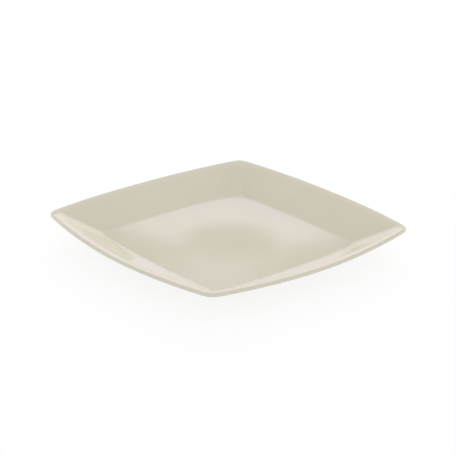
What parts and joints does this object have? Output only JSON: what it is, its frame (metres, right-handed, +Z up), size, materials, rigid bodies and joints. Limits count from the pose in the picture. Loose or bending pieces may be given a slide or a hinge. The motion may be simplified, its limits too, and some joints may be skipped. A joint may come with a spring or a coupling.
{
  "type": "square dinner plate",
  "caption": "Square dinner plate moulded in one piece, with a flat floor, a wide sloping rim that levels out towards its bowed sides and raised corners, and a low foot ring.",
  "frame": {"origin": "middle of the foot ring's underside, on the surface that the plate stands on", "axes": "+Z up out of the well; X and Y at right angles to the plate's sides"},
  "size_m": [0.25, 0.25, 0.0238],
  "materials": {
    "plate_body": "satin"
  },
  "bodies": {
    "root": {"plate": "plate_body"}
  },
  "joints": []
}
